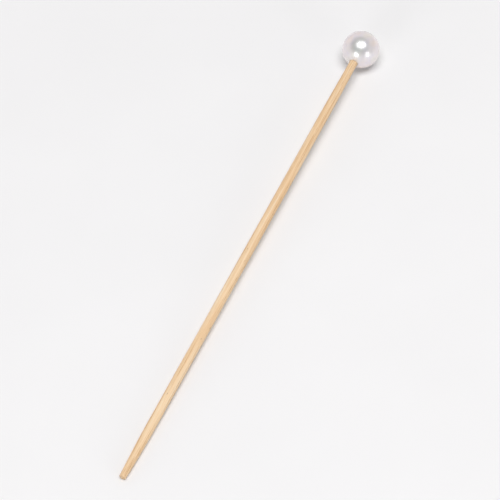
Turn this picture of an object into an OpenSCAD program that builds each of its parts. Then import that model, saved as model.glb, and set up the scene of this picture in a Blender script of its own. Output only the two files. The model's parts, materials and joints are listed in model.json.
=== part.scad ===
// Cocktail pick: a straight bamboo stick with a round pearl bead glued on its head.
// It lies along X as it comes to rest on a flat surface, bead towards +X, tip towards -X.
// The origin is under the middle of its length, on that surface. Sizes are in millimetres.

/* [Overall] */
// Length from the bead's far pole to the cut face of the tip
overall_len = 120; // [80:1:200]

/* [Bead] */
// Diameter of the bead
bead_d = 8; // [7:0.5:14]
// Depth of the blind bore's straight wall, from the bore's mouth
bore_depth = 4.6; // [3:0.1:5]
// Full angle of the drill point at the foot of the bore
drill_angle = 118; // [90:1:140]
// Width of the small countersink round the bore's mouth
mouth_break = 0.08; // [0.02:0.01:0.3]

/* [Stick] */
// Diameter of the stick between its two tapers
stick_d = 2; // [1.8:0.1:3.2]
// Diameter of the straight seat that goes into the bead
seat_d = 1.7; // [1.2:0.05:1.8]
// Length over which the stick swells from the bead to its full diameter
neck_len = 16; // [6:1:30]
// Length of the taper towards the tip
tip_len = 12; // [4:1:25]
// Diameter of the tip where it is cut off square
tip_d = 1.4; // [0.8:0.1:1.7]
// Width of the broken edge round both cut ends
cut_edge = 0.1; // [0.05:0.05:0.2]
// Roundness of both tapers: 1 is a straight cone, 2 draws in late
taper_power = 1.5; // [1:0.1:2.5]

/* [Glue] */
// Thickness of the glue film between the seat and the wall of the bore
glue_film = 0.05; // [0.02:0.01:0.15]
// Thickness of the glue between the end of the stick and the foot of the bore's wall
glue_drop = 0.3; // [0.1:0.05:0.6]

/* [Hidden] */

$fn = 96;
bead_colour = [0.92, 0.91, 0.93];
stick_colour = [0.93, 0.79, 0.56];
glue_colour = [0.94, 0.90, 0.78];

// Radii
bead_r = bead_d / 2;
stick_r = stick_d / 2;
seat_r = seat_d / 2;
tip_r = tip_d / 2;
cut_r = tip_r - cut_edge;
bore_r = seat_r + glue_film;
mouth_r = bore_r + mouth_break;

// Heights along the pick's own axis, from the bead's centre towards the tip
mouth_z = sqrt(pow(bead_r, 2) - pow(mouth_r, 2));
bore_foot_z = mouth_z - bore_depth;
drill_point_z = bore_foot_z - bore_r / tan(drill_angle / 2);
seat_end_z = bore_foot_z + glue_drop;
neck_end_z = mouth_z + neck_len;
tip_start_z = overall_len - bead_r - tip_len;
tip_z = overall_len - bead_r;

// Steps along each taper
taper_steps = 10;

// Points of the neck, from the bore's mouth to the full diameter
neck_outline = [
    for (i = [0 : taper_steps])
        let (t = i / taper_steps)
        [stick_r - (stick_r - seat_r) * pow(1 - t, taper_power), mouth_z + neck_len * t]
];

// Points of the tip's taper, from the full diameter to the broken edge of the cut
tip_outline = [
    for (i = [0 : taper_steps])
        let (t = i / taper_steps)
        [stick_r - (stick_r - tip_r) * pow(t, taper_power), tip_start_z + (tip_len - cut_edge) * t]
];

// Angle at which bead and one point of the outline touch a flat surface together
function lean_on(point) = asin(bead_r / norm(point)) - atan2(point[0], point[1]);

// The pick comes to rest on its bead and on the first point of the taper that it meets
lean = min([for (point = tip_outline) lean_on(point)]);

// Place of the bead's centre that puts the middle of the whole length over the origin
bead_x = (tip_z * cos(lean) + cut_r * sin(lean) - bead_r) / 2;

// Turns a piece from the pick's own upright axis to where it lies
module lying() {
    translate([bead_x, 0, bead_r])
        rotate([0, -90 - lean, 0])
            children();
}

// Blind bore with its drill point, closed off at a height above its mouth
module bore(top_z) {
    rotate_extrude()
        polygon([
            [0, drill_point_z],
            [bore_r, bore_foot_z],
            [bore_r, mouth_z - mouth_break],
            [mouth_r, mouth_z],
            [mouth_r, top_z],
            [0, top_z]
        ]);
}

// Whole stick as one turned shape, from the end in the bead to the cut tip
module stick_form() {
    rotate_extrude()
        polygon(concat(
            [
                [0, seat_end_z],
                [seat_r - cut_edge, seat_end_z],
                [seat_r, seat_end_z + cut_edge]
            ],
            neck_outline,
            tip_outline,
            [
                [cut_r, tip_z],
                [0, tip_z]
            ]
        ));
}

// Bamboo stick: seat, swelling neck, straight shank, tapered tip cut off square
module stick() {
    color(stick_colour)
        lying()
            stick_form();
}

// Round bead with the blind bore that takes the stick's seat
module pearl_bead() {
    color(bead_colour)
        lying()
            difference() {
                sphere(r = bead_r);
                bore(bead_d);
            }
}

// Set glue that fills the bore round and behind the seat, level with the bore's mouth
module glue() {
    color(glue_colour)
        lying()
            difference() {
                bore(mouth_z);
                stick_form();
            }
}

stick();
pearl_bead();
glue();
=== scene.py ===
"""Looks of a cocktail pick: a slim bamboo stick with a pearl bead, lying on a pale floor."""

import json
import math
from types import SimpleNamespace

import bmesh
import bpy
import numpy as np
from mathutils import Matrix, Vector


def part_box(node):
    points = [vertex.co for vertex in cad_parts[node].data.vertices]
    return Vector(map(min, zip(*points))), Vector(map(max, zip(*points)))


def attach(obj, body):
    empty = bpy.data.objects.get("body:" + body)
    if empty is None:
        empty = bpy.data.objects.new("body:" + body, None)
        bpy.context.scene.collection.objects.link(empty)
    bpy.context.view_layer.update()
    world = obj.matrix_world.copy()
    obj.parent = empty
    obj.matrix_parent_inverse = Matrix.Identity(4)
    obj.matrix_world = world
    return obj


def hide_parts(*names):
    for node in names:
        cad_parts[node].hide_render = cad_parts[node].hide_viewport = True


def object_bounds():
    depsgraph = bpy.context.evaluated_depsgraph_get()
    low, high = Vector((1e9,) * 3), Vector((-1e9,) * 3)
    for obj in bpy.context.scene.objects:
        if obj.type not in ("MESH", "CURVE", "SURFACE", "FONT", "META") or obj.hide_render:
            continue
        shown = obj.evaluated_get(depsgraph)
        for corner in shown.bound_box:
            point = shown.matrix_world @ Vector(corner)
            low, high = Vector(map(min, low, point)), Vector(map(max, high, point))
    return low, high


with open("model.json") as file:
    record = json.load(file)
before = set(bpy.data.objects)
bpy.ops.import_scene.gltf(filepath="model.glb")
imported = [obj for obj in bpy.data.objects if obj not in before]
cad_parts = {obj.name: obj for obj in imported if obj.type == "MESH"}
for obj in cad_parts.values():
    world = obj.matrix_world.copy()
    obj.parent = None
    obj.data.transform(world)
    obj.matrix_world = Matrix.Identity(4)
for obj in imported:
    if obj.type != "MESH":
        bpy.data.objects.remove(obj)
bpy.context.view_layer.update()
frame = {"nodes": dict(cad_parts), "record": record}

MM = 0.001
TURN = 2 * math.pi
SEED = 20

# Attribute that keeps each point's place in the pick's own axis frame, in millimetres
PLACE = "pick_place"

# Camera, as the photograph was taken: it looks along the pick from the tip's side, from above
CAMERA_AZIMUTH = math.radians(-61.2)
CAMERA_ELEVATION = math.radians(52.9)
CAMERA_ROLL = math.radians(-4.8)
CAMERA_DISTANCE = 0.844
CAMERA_FOV = math.radians(6.95)
CAMERA_NEAREST = 0.01

# Lamps: where the highlight shows on the bead, in bead radii from its centre as the camera
# sees it, then width and height in metres and power in watts
LAMP_DISTANCE = 1.1
LAMPS = {
    "lamp_above": ((0.02, 0.25), (0.87, 0.53), 8.4),
    "lamp_left": ((-0.27, -0.27), (0.46, 0.46), 1.95),
    "lamp_right": ((0.35, -0.26), (0.41, 0.41), 1.35),
}

# Room light: lean of the dim cap overhead towards the camera and to its left, then the angle
# from the cap's middle where the walls begin and where the cap ends, each with its colour
CAP_LEAN = math.radians(12)
CAP_LEFT = math.radians(8)
WALL = (math.radians(68), (0.87, 0.82, 0.76))
CAP = (math.radians(41), (0.19, 0.20, 0.235))

# Strength of the room light from the near right and from the far left
WORLD_DIM = 0.67
WORLD_BRIGHT = 1.00

# Floor: its size, its colour to the eye and in reflections, and in the light that it throws
# back, then the scale of its mottling and the darkest share of the colour in it
FLOOR_RADIUS = 6.0
FLOOR_SEEN = (0.88, 0.88, 0.885)
FLOOR_THROWN = (0.62, 0.62, 0.625)
FLOOR_MOTTLE = 30.0
FLOOR_DARKEST = 0.98

# Detail of the meshes
STICK_SIDES = 144
STICK_RINGS = 560
BEAD_SIDES = 240
BEAD_RINGS = 150
GLUE_SIDES = 96
FLOOR_SIDES = 96
MOUTH_STEPS = 7
GLUE_STEPS = 9

# Least distance between two rings of the stick, and the least gap or radius that counts
RING_GAP = 0.004 * MM
HAIR = 0.01 * MM

# Lengthwise grooves of the bamboo: their number, and the range of each groove's measures in the
# order in which they are drawn. Angles are in radians, lengths in millimetres.
GROOVES = 44
GROOVE = {
    "side": (0, TURN),
    "wander": (0.02, 0.10),
    "wave": (30, 90),
    "phase": (0, TURN),
    "width": (0.03, 0.08),
    "depth": (0.004, 0.016),
    "fade_wave": (12, 50),
    "fade_phase": (0, TURN),
}

# A groove fades in and out along the stick: the middle of its strength, and its swing each way
GROOVE_STRENGTH = 0.6
GROOVE_SWING = 0.7

# Torn fibres, in the same way; their place is a share of the stretch that has tears, which
# keeps clear of the bead's centre and of the tip
TEARS = 12
TEAR = {
    "place": (0, 1),
    "side": (0, TURN),
    "length": (1.0, 3.5),
    "width": (0.05, 0.12),
    "depth": (0.015, 0.035),
}
TEARS_OFF_BEAD = 12 * MM
TEARS_OFF_TIP = 8 * MM

# Slight oval of the stick: how far its radius swings each way, and its turn in radians a metre
OVAL = 0.006 * MM
OVAL_TWIST = 40

# Length over which grooves, tears and oval set in where the stick comes out of the bead
RELIEF_FADE = 1.5 * MM

# Cut face of the tip: its rings, as shares of its edge's radius, and the depth of its grain
CUT_RINGS = (0.86, 0.70, 0.54, 0.38, 0.22, 0.10)
CUT_GRAIN = 0.012 * MM

# Ripple of the bead's lacquer: the number of its waves, the range of their pitch in radians to
# the bead's radius, its depth, and the angle over which it sets in from the bore's mouth
RIPPLE_WAVES = 26
RIPPLE_PITCH = (5, 13)
RIPPLE_DEPTH = 0.006 * MM
RIPPLE_FADE = 0.3

# Reach of the rounded edge at the bore's mouth, each way from where the corner would be, then
# how many times that reach the bead's first two rings lie from the corner
MOUTH_ROUND = 0.035 * MM
MOUTH_RINGS = (1.3, 2.0)

# Angle from the bead's far pole to the edge of the small flat that closes it there
POLE_FLAT = 0.006

# Colours of the bamboo, from the darkest to the palest of its slow drift, then of what lies on it
WOOD = ((0.81, 0.55, 0.31), (0.86, 0.62, 0.38), (0.90, 0.68, 0.44))
STREAK_DARK = (0.68, 0.40, 0.18)
STREAK_PALE = (0.94, 0.81, 0.62)
FIBRE_DARK = (0.62, 0.38, 0.17)
THREAD_DARK = (0.66, 0.41, 0.19)
THREAD_PALE = (0.96, 0.82, 0.62)
BUNDLE_DARK = (0.54, 0.31, 0.13)
SPECK = (0.20, 0.09, 0.04)

# Colours of the pearl lacquer's clouds, of the warmth over them and of its sheen, then where
# the clouds and the warmth lie in their noise
PEARL_GREEN = (0.77, 0.83, 0.775)
PEARL_WHITE = (0.83, 0.82, 0.785)
PEARL_LAVENDER = (0.81, 0.79, 0.85)
PEARL_PEACH = (0.88, 0.80, 0.755)
PEARL_WARMTH = (0.87, 0.82, 0.75)
PEARL_SHEEN = (0.96, 0.84, 0.80)
CLOUDS_AT = (-3.0, 24.1, -5.8)
WARMTH_AT = (-21.8, -4.7, -7.7)

# Colours of the set glue over wood, darkened in part to paint a soft shade line at the joint of
# bead and stick
GLUE_AND_SHADE_DARK = (0.66, 0.52, 0.32)
GLUE_AND_SHADE_PALE = (0.76, 0.64, 0.44)


def turn_of(right, back):
    """Turn that lays X along right and Z along back, two unit vectors at a right angle."""
    return Matrix((right, back.cross(right), back)).transposed()


class Axis:
    """The pick's own axis: distances are counted from the bead's centre towards the tip."""

    def __init__(self):
        low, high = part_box("pearl_bead")
        shank = next(m for m in frame["record"]["mounts"] if m["name"] == "shank")
        self.bead_radius = (high.z - low.z) / 2
        self.origin = Vector((high.x - self.bead_radius, 0, low.z + self.bead_radius))
        self.direction = Vector(shank["axis"]).normalized()
        turn = turn_of(Vector((0, 1, 0)), self.direction)
        self.matrix = Matrix.Translation(self.origin) @ turn.to_4x4()

    def outline(self, node):
        """Largest radius of a CAD node at each distance along the axis, as two arrays."""
        widest = {}
        for vertex in frame["nodes"][node].data.vertices:
            offset = vertex.co - self.origin
            along = offset.dot(self.direction)
            radius = (offset - along * self.direction).length
            key = round(along / MM, 3)
            widest[key] = max(widest.get(key, (0, 0)), (radius, along))
        radii, places = zip(*(widest[key] for key in sorted(widest)))
        return np.array(places), np.array(radii)


axis = Axis()


def add_object(name, data):
    """A new object in the scene with its data."""
    thing = bpy.data.objects.new(name, data)
    bpy.context.scene.collection.objects.link(thing)
    return thing


def add_mesh(name, mesh):
    """A new object in the scene from a bmesh, which ends here."""
    data = bpy.data.meshes.new(name)
    mesh.to_mesh(data)
    mesh.free()
    return add_object(name, data)


def close_end(mesh, row, apex=None):
    """Closes one end of a tube, flat or drawn to a point at a place on the axis."""
    centre = sum((vertex.co for vertex in row), Vector()) / len(row)
    if apex is not None:
        centre = Vector((0, 0, apex))
    middle = mesh.verts.new(centre)
    for vertex, after in zip(row, row[1:] + row[:1]):
        mesh.faces.new((vertex, after, middle))


def lathe(name, rings, apex=None):
    """A closed mesh from rings, each an (n, 3) array in the pick's own axis frame.

    Both ends are flat, unless apex gives the place on the axis where the first end comes
    to a point.
    """
    mesh = bmesh.new()
    rows = [[mesh.verts.new(point) for point in points] for points in rings]
    for row, after in zip(rows, rows[1:]):
        for i in range(len(row)):
            j = (i + 1) % len(row)
            mesh.faces.new((row[i], row[j], after[j], after[i]))
    close_end(mesh, rows[0], apex)
    close_end(mesh, rows[-1])
    bmesh.ops.recalc_face_normals(mesh, faces=mesh.faces)
    piece = add_mesh(name, mesh)
    data = piece.data
    data.shade_smooth()
    places = np.array([vertex.co for vertex in data.vertices]) / MM
    kept = data.attributes.new(PLACE, "FLOAT_VECTOR", "POINT")
    kept.data.foreach_set("vector", places.astype(np.float32).ravel())
    data.transform(axis.matrix)
    return piece


def angles_of(sides):
    """Angles of the corners of a ring with so many sides."""
    return np.arange(sides) * TURN / sides


def ring(radius, along, sides):
    """One round ring; radius and along may be single numbers or one for each side."""
    angle = angles_of(sides)
    return np.stack([radius * np.cos(angle), radius * np.sin(angle), along + 0 * angle], axis=1)


def smooth(x):
    """Rises softly from 0 to 1 as x goes from 0 to 1."""
    x = np.clip(x, 0, 1)
    return x * x * (3 - 2 * x)


def bend(first, middle, last, steps):
    """Points of a curve from first to last that is drawn towards middle, each an array."""
    first, middle, last = np.array(first), np.array(middle), np.array(last)
    return [
        first * (1 - t) ** 2 + middle * 2 * t * (1 - t) + last * t ** 2
        for t in np.linspace(0, 1, steps)
    ]


def draw(random, ranges):
    """One value from each named range, drawn in the order in which they are given."""
    return SimpleNamespace(**{name: random.uniform(*limits) for name, limits in ranges.items()})


def apart(angles, centre):
    """Angles counted from a centre, the short way round."""
    return np.angle(np.exp(1j * (angles - centre)))


def groove_relief(random, angles, along):
    """Depth of the lengthwise grooves of the bamboo under its round outline, in metres."""
    relief = np.zeros_like(angles)
    for _ in range(GROOVES):
        groove = draw(random, GROOVE)
        wave = np.sin(TURN * along / (groove.wave * MM) + groove.phase)
        off_centre = apart(angles, groove.side + groove.wander * wave)
        fade = np.sin(TURN * along / (groove.fade_wave * MM) + groove.fade_phase)
        strength = smooth(GROOVE_STRENGTH + GROOVE_SWING * fade)
        relief += groove.depth * MM * strength * np.exp(-((off_centre / groove.width) ** 2))
    return relief


def tear_relief(random, angles, along):
    """Depth of a few long shallow tears where a fibre came off, in metres."""
    relief = np.zeros_like(angles)
    first, last = TEARS_OFF_BEAD, along.max() - TEARS_OFF_TIP
    for _ in range(TEARS):
        tear = draw(random, TEAR)
        middle = first + tear.place * (last - first)
        near = np.exp(-(((along - middle) / (tear.length * MM)) ** 4))
        across = np.exp(-((apart(angles, tear.side) / tear.width) ** 4))
        relief += tear.depth * MM * near * across
    return relief


def make_stick():
    """Stick: the CAD outline as a round rod with grooves, tears and a cut, grained end."""
    random = np.random.default_rng(SEED)
    places, radii = axis.outline("stick")
    tip = places[-1]
    alongs = np.unique(np.concatenate([places, np.linspace(places[0], tip, STICK_RINGS)]))
    alongs = alongs[np.diff(alongs, prepend=-np.inf) > RING_GAP]
    grid_angle, grid_along = np.meshgrid(angles_of(STICK_SIDES), alongs)
    relief = groove_relief(random, grid_angle, grid_along)
    relief += tear_relief(random, grid_angle, grid_along)
    relief += OVAL * (1 + np.cos(2 * grid_angle + OVAL_TWIST * grid_along))
    relief *= smooth((grid_along - axis.bead_radius) / RELIEF_FADE)
    radius = np.interp(grid_along, places, radii) - relief
    rings = [ring(r, a, STICK_SIDES) for r, a in zip(radius, alongs)]
    for share in CUT_RINGS:
        grain = random.uniform(0, CUT_GRAIN, STICK_SIDES)
        grain = (grain + np.roll(grain, 1) + np.roll(grain, -1)) / 3
        rings.append(ring(radius[-1] * share, tip - grain, STICK_SIDES))
    return lathe("bamboo_stick", rings)


def bore_outline():
    """Outline of the bore from its drill point to its mouth, as (along, radius) arrays."""
    places, radii = axis.outline("glue")
    clear = radii > np.interp(places, *axis.outline("stick")) + HAIR
    clear[0] = True
    return list(np.stack([places, radii], axis=1)[clear])


def ripple_over(random, unit):
    """Soft waves over a ball, within -1 and 1, at each unit vector."""
    ripple = np.zeros(unit.shape[:-1])
    for _ in range(RIPPLE_WAVES):
        direction = random.normal(size=3)
        direction /= np.linalg.norm(direction)
        pitch = random.uniform(*RIPPLE_PITCH)
        phase = random.uniform(0, TURN)
        ripple += np.sin(pitch * unit @ direction + phase) / RIPPLE_WAVES
    return ripple


def make_bead():
    """Bead: a sphere with a hardly seen lacquer ripple and a blind bore with a rounded mouth."""
    random = np.random.default_rng(SEED + 1)
    bore = bore_outline()
    below, corner = bore[-2:]
    start = math.asin(corner[1] / axis.bead_radius)
    rounded = MOUTH_ROUND / axis.bead_radius
    first, second = (start + reach * rounded for reach in MOUTH_RINGS)
    polar = np.append(first, np.linspace(second, math.pi - POLE_FLAT, BEAD_RINGS))
    angle, polar = np.meshgrid(angles_of(BEAD_SIDES), polar)
    across = np.sin(polar)
    unit = np.stack([across * np.cos(angle), across * np.sin(angle), np.cos(polar)], axis=-1)
    depth = RIPPLE_DEPTH * (1 - ripple_over(random, unit)) * smooth((polar - start) / RIPPLE_FADE)
    sphere = list(unit * (axis.bead_radius - depth)[..., None])
    edge = start + rounded
    outside = axis.bead_radius * np.array([math.cos(edge), math.sin(edge)])
    inside = corner + (below - corner) * MOUTH_ROUND / np.linalg.norm(below - corner)
    mouth = bend(inside, corner, outside, MOUTH_STEPS)
    walls = [ring(r, a, BEAD_SIDES) for a, r in bore[1:-1] + mouth]
    return lathe("bead_pearl", walls + sphere, apex=bore[0][0])


def make_glue():
    """Glue: fills the bore round and behind the seat, sunk a little below the mouth."""
    bore = bore_outline()
    below, corner = bore[-2:]
    places, radii = axis.outline("stick")
    outer_shore = (corner + below) / 2
    inner_shore = np.array([corner[0], np.interp(corner[0], places, radii)])
    hollow = np.array([below[0], (outer_shore[1] + inner_shore[1]) / 2])
    surface = bend(outer_shore, hollow, inner_shore, GLUE_STEPS)
    seat = [(a, r) for a, r in zip(places, radii) if a < below[0] and r > HAIR]
    path = bore[1:-1] + surface + seat[::-1]
    return lathe("glue_ring", [ring(r, a, GLUE_SIDES) for a, r in path], apex=bore[0][0])


class Nodes:
    """Short calls that build a material's node tree."""

    # Sockets of the mix node that carry colours
    MIX_FIRST = 6
    MIX_SECOND = 7
    MIX_RESULT = 2

    def __init__(self, name):
        self.material = bpy.data.materials.new(name)
        self.material.use_nodes = True
        self.tree = self.material.node_tree
        self.shader = self.tree.nodes["Principled BSDF"]

    def add(self, kind, settings=None, **inputs):
        """A node with its settings and its inputs, whose names have underscores for spaces."""
        node = self.tree.nodes.new(kind)
        for key, value in (settings or {}).items():
            setattr(node, key, value)
        for key, value in inputs.items():
            self.put(node.inputs[key.replace("_", " ")], value)
        return node

    def put(self, socket, value):
        """Links a socket to another one, or gives it a plain value."""
        if isinstance(value, bpy.types.NodeSocket):
            self.tree.links.new(value, socket)
        else:
            socket.default_value = value

    def place(self, across, along, shift):
        """Places in the pick's own axis frame, with so many units a millimetre each way."""
        kept = self.add("ShaderNodeAttribute", {"attribute_name": PLACE})
        return self.add(
            "ShaderNodeMapping",
            Vector=kept.outputs["Vector"],
            Location=shift,
            Scale=(across, across, along),
        ).outputs["Vector"]

    def noise(self, across, along, detail=3.0, roughness=0.5, shift=(0, 0, 0)):
        """Soft noise round 0.5, with so many lumps a millimetre across and along the pick."""
        return self.add(
            "ShaderNodeTexNoise",
            Vector=self.place(across, along, shift),
            Scale=1.0,
            Detail=detail,
            Roughness=roughness,
        ).outputs["Fac"]

    def cells(self, across, along):
        """Distance from the nearest cell's middle, in cells."""
        return self.add(
            "ShaderNodeTexVoronoi", Vector=self.place(across, along, (0, 0, 0)), Scale=1.0
        ).outputs["Distance"]

    def ramp(self, value, stops):
        """Colours that a value passes through, each stop as (position, colour)."""
        node = self.add("ShaderNodeValToRGB", Fac=value)
        elements = node.color_ramp.elements
        while len(elements) < len(stops):
            elements.new(0.5)
        for element, (position, colour) in zip(elements, stops):
            element.position = position
            element.color = (*colour, 1)
        return node.outputs["Color"]

    def level(self, value, start, full, low, high):
        """Goes from low to high as the value goes from start to full, and no further."""
        return self.add(
            "ShaderNodeMapRange",
            {"clamp": True},
            Value=value,
            From_Min=start,
            From_Max=full,
            To_Min=low,
            To_Max=high,
        ).outputs["Result"]

    def mix(self, factor, first, second, blend="MIX"):
        """Goes from the first colour to the second as the factor goes from 0 to 1."""
        node = self.add("ShaderNodeMix", {"data_type": "RGBA", "blend_type": blend}, Factor=factor)
        self.put(node.inputs[self.MIX_FIRST], first)
        self.put(node.inputs[self.MIX_SECOND], second)
        return node.outputs[self.MIX_RESULT]

    def math(self, operation, *values):
        """Result of a sum on sockets or plain values."""
        node = self.add("ShaderNodeMath", {"operation": operation})
        for socket, value in zip(node.inputs, values):
            self.put(socket, value)
        return node.outputs["Value"]

    def bump(self, height, strength, distance):
        """Gives the shader's surface fine relief from a height."""
        normal = self.add(
            "ShaderNodeBump",
            Height=height,
            Strength=strength,
            Distance=distance,
            Filter_Width=1.0,
        ).outputs["Normal"]
        self.set(Normal=normal)

    def set(self, **values):
        """Inputs of the shader, whose names have underscores for spaces."""
        for key, value in values.items():
            self.put(self.shader.inputs[key.replace("_", " ")], value)


def bamboo_material():
    """Pale straw bamboo: fine fibre, darker fibre bundles, pale streaks and a few specks."""
    nodes = Nodes("bamboo")
    drift = nodes.noise(0.10, 0.035, 2.0)
    fibre = nodes.noise(9.0, 0.10, 4.0, 0.65)
    streak = nodes.noise(2.2, 0.05, 3.0, 0.55)
    bundle = nodes.cells(3.0, 0.04)
    broken = nodes.noise(5.0, 0.5, 2.0)
    thread = nodes.noise(24.0, 0.22, 3.0, 0.6)
    speck = nodes.noise(3.2, 0.5, 1.0)
    bundles = nodes.math(
        "MULTIPLY",
        nodes.level(bundle, 0.44, 0.24, 0.0, 0.7),
        nodes.level(broken, 0.35, 0.60, 0.2, 1.0),
    )
    body = nodes.ramp(drift, list(zip((0.30, 0.50, 0.72), WOOD)))
    for cover, colour in (
        (nodes.level(streak, 0.50, 0.72, 0.0, 0.6), STREAK_DARK),
        (nodes.level(streak, 0.48, 0.30, 0.0, 0.6), STREAK_PALE),
        (nodes.level(fibre, 0.52, 0.74, 0.0, 0.5), FIBRE_DARK),
        (nodes.level(thread, 0.54, 0.70, 0.0, 0.45), THREAD_DARK),
        (nodes.level(thread, 0.44, 0.28, 0.0, 0.45), THREAD_PALE),
        (bundles, BUNDLE_DARK),
        (nodes.level(speck, 0.74, 0.79, 0.0, 0.85), SPECK),
    ):
        body = nodes.mix(cover, body, (*colour, 1))
    rough = nodes.level(fibre, 0.3, 0.7, 0.34, 0.56)
    nodes.set(Base_Color=body, Roughness=rough, IOR=1.52)
    height = fibre
    for pattern, share in ((streak, 0.8), (thread, 0.5), (bundles, -0.5)):
        height = nodes.math("MULTIPLY_ADD", pattern, share, height)
    nodes.bump(height, 0.8, 0.04 * MM)
    return nodes.material


def pearl_material():
    """Pearl lacquer: a half metallic white under a clear gloss, faintly clouded and iridescent."""
    nodes = Nodes("pearl")
    clouds = nodes.noise(0.24, 0.24, 2.0, shift=CLOUDS_AT)
    warmth = nodes.noise(0.16, 0.20, 2.0, shift=WARMTH_AT)
    ripple = nodes.noise(0.9, 0.9, 2.0)
    tint = nodes.ramp(
        clouds,
        [
            (0.32, PEARL_GREEN),
            (0.46, PEARL_WHITE),
            (0.58, PEARL_LAVENDER),
            (0.72, PEARL_PEACH),
        ],
    )
    tint = nodes.mix(nodes.level(warmth, 0.35, 0.65, 0.0, 0.55), tint, (*PEARL_WARMTH, 1))
    rough = nodes.level(ripple, 0.3, 0.7, 0.29, 0.35)
    nodes.set(
        Base_Color=tint,
        Metallic=0.52,
        Roughness=rough,
        IOR=1.55,
        Coat_Weight=1.0,
        Coat_Roughness=0.19,
        Coat_IOR=1.7,
        Sheen_Weight=0.15,
        Sheen_Roughness=0.4,
        Sheen_Tint=(*PEARL_SHEEN, 1),
        Thin_Film_Thickness=330.0,
        Thin_Film_IOR=1.8,
    )
    nodes.bump(ripple, 0.05, 0.04 * MM)
    return nodes.material


def glue_and_shade_material():
    """Set glue over wood, yellowish and half clear, with small uneven spots; its darkness is
    partly painted shade of the joint.
    """
    nodes = Nodes("glue")
    spots = nodes.noise(2.5, 2.5, 2.0)
    # The glue's colour is partly its own and partly painted shade where the bead meets the stick
    colour = nodes.ramp(spots, [(0.3, GLUE_AND_SHADE_DARK), (0.7, GLUE_AND_SHADE_PALE)])
    rough = nodes.level(spots, 0.3, 0.7, 0.32, 0.48)
    nodes.set(Base_Color=colour, Roughness=rough, IOR=1.48, Transmission_Weight=0.15)
    nodes.bump(spots, 0.2, 0.02 * MM)
    return nodes.material


def floor_material():
    """Plain pale floor, hardly mottled: near white to the eye, less so in the light it throws."""
    nodes = Nodes("floor")
    place = nodes.add("ShaderNodeTexCoord").outputs["Object"]
    mottle = nodes.add("ShaderNodeTexNoise", Vector=place, Scale=FLOOR_MOTTLE, Detail=3.0)
    level = nodes.level(mottle.outputs["Fac"], 0.3, 0.7, FLOOR_DARKEST, 1.0)
    path = nodes.add("ShaderNodeLightPath").outputs
    seen = nodes.math("MAXIMUM", path["Is Camera Ray"], path["Is Glossy Ray"])
    seen = nodes.math("MAXIMUM", seen, path["Is Transmission Ray"])
    colour = nodes.mix(seen, (*FLOOR_THROWN, 1), (*FLOOR_SEEN, 1))
    colour = nodes.mix(1.0, colour, level, "MULTIPLY")
    nodes.set(Base_Color=colour, Roughness=0.95, Specular_IOR_Level=0.15)
    return nodes.material


def dress(piece, material, node):
    """Gives a piece its material, and its place in the frame as what replaces a CAD node."""
    piece.data.materials.append(material)
    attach(piece, "root")
    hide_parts(node)


def camera_axes():
    """Unit vectors right, level away and up, for the camera's heading."""
    away = Vector((-math.sin(CAMERA_AZIMUTH), math.cos(CAMERA_AZIMUTH), 0))
    right = Vector((away.y, -away.x, 0))
    return right, away, Vector((0, 0, 1))


def make_camera():
    """Camera on the photograph's line of sight, aimed at the middle of the pick."""
    low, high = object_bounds()
    target = (Vector(low) + Vector(high)) / 2
    target.z = axis.bead_radius / 2
    right, away, up = camera_axes()
    back = up * math.sin(CAMERA_ELEVATION) - away * math.cos(CAMERA_ELEVATION)
    data = bpy.data.cameras.new("camera")
    data.sensor_fit = "HORIZONTAL"
    data.angle = CAMERA_FOV
    data.clip_start = CAMERA_NEAREST
    camera = add_object("camera", data)
    turn = turn_of(right, back) @ Matrix.Rotation(CAMERA_ROLL, 3, "Z")
    camera.matrix_world = Matrix.Translation(target + back * CAMERA_DISTANCE) @ turn.to_4x4()
    bpy.context.scene.camera = camera
    return camera


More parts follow.
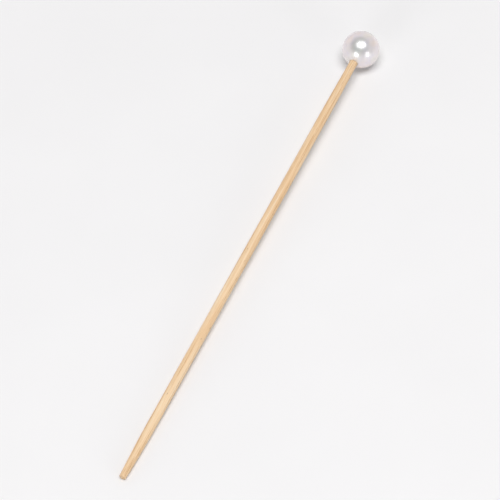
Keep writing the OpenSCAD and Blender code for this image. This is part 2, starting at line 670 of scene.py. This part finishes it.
def make_lamps(camera):
    """Three soft lamps, each where its mirror image falls on its place on the bead."""
    view = camera.matrix_world.to_3x3()
    view_right, view_back = view.col[0], view.col[2]
    for name, ((across, up), size, power) in LAMPS.items():
        normal = view @ Vector((across, up, math.sqrt(1 - across ** 2 - up ** 2)))
        back = 2 * normal.dot(view_back) * normal - view_back
        right = (view_right - view_right.dot(back) * back).normalized()
        data = bpy.data.lights.new(name, "AREA")
        data.shape = "ELLIPSE"
        data.size, data.size_y = size
        data.energy = power
        lamp = add_object(name, data)
        turn = turn_of(right, back)
        lamp.matrix_world = Matrix.Translation(back * LAMP_DISTANCE) @ turn.to_4x4()
        lamp.visible_camera = False


def make_world():
    """Room light: a dim cap overhead that leans towards the camera, and pale walls round it."""
    world = bpy.data.worlds.new("room")
    bpy.context.scene.world = world
    world.use_nodes = True
    tree = world.node_tree
    background = tree.nodes["Background"]
    place = tree.nodes.new("ShaderNodeTexCoord").outputs["Generated"]
    right, away, up = camera_axes()

    def share(direction):
        """Cosine of the angle between a place in the room and a direction."""
        node = tree.nodes.new("ShaderNodeVectorMath")
        node.operation = "DOT_PRODUCT"
        node.inputs[1].default_value = direction.normalized()
        tree.links.new(place, node.inputs[0])
        return node.outputs["Value"]

    ramp = tree.nodes.new("ShaderNodeValToRGB")
    ramp.color_ramp.interpolation = "EASE"
    cap = up * math.cos(CAP_LEAN) - away * math.sin(CAP_LEAN) - right * math.sin(CAP_LEFT)
    tree.links.new(share(cap), ramp.inputs["Fac"])
    for element, (edge, colour) in zip(ramp.color_ramp.elements, (WALL, CAP)):
        element.position = math.cos(edge)
        element.color = (*colour, 1)
    strength = tree.nodes.new("ShaderNodeMapRange")
    tree.links.new(share(away - right), strength.inputs["Value"])
    for socket, value in (
        ("From Min", -1.0),
        ("From Max", 1.0),
        ("To Min", WORLD_DIM),
        ("To Max", WORLD_BRIGHT),
    ):
        strength.inputs[socket].default_value = value
    tree.links.new(strength.outputs["Result"], background.inputs["Strength"])
    tree.links.new(ramp.outputs["Color"], background.inputs["Color"])


def make_floor():
    """Floor: a flat round that the pick lies on, with its edge far out of sight."""
    mesh = bmesh.new()
    bmesh.ops.create_circle(mesh, cap_ends=True, radius=FLOOR_RADIUS, segments=FLOOR_SIDES)
    floor = add_mesh("floor", mesh)
    floor.data.materials.append(floor_material())


bpy.context.scene.view_settings.view_transform = "Standard"
make_lamps(make_camera())
make_world()
make_floor()
dress(make_stick(), bamboo_material(), "stick")
dress(make_bead(), pearl_material(), "pearl_bead")
dress(make_glue(), glue_and_shade_material(), "glue")
